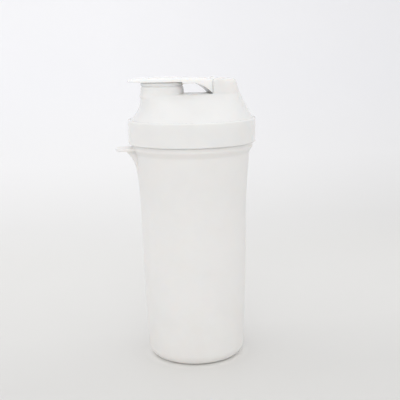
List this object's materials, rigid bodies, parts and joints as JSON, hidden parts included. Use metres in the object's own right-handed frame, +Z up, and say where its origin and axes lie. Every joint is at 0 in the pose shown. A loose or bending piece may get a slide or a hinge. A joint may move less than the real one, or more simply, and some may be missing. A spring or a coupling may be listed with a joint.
{
  "type": "protein shaker bottle",
  "caption": "Slim frosted shaker cup with a side tab, a domed screw lid, a hinged flip cap that plugs the spout, a finger gap, a seal and a strainer.",
  "frame": {"origin": "centre of the cup's underside, on the cup's axis, at the surface it stands on", "axes": "+Z up along the cup's axis; -X towards the spout, the cap's thumb tab and the cup's tab; +X towards the hinge; +Y completes the frame"},
  "size_m": [0.1014, 0.092, 0.2056],
  "materials": {
    "cup_frosted": "satin, frosted and milky, light shows through",
    "lid_white": "satin",
    "cap_white": "satin",
    "plug_soft": "matt, soft",
    "pin_plastic": "smooth",
    "seal_silicone": "matt, slightly cloudy",
    "strainer_white": "satin"
  },
  "bodies": {
    "cup": {"cup": "cup_frosted"},
    "seal_ring": {"lid_seal": "seal_silicone"},
    "lid": {"lid_shell": "lid_white", "hinge_pin": "pin_plastic"},
    "cap": {"flip_cap": "cap_white", "spout_plug": "plug_soft"},
    "strainer": {"strainer": "strainer_white"}
  },
  "joints": [
    {"name": "lid_lift", "type": "slide", "parent": "cup", "child": "seal_ring", "axis": [0, 0, 1], "range_m": [0, 0.01801]},
    {"name": "lid_turn", "type": "hinge", "parent": "seal_ring", "child": "lid", "pos_m": [0, 0, 0.166], "axis": [0, 0, 1], "range_deg": [0, 1080]},
    {"name": "cap_hinge", "type": "hinge", "parent": "lid", "child": "cap", "pos_m": [0.018, 0, 0.2008], "axis": [0, 1, 0], "range_deg": [0, 100]},
    {"name": "strainer_release", "type": "slide", "parent": "lid", "child": "strainer", "axis": [0, 0, -1], "range_m": [0, 0.012]}
  ],
  "couplings": [
    {"joint": "lid_lift", "follows": "lid_turn", "m_per_rad": 0.00095493}
  ]
}
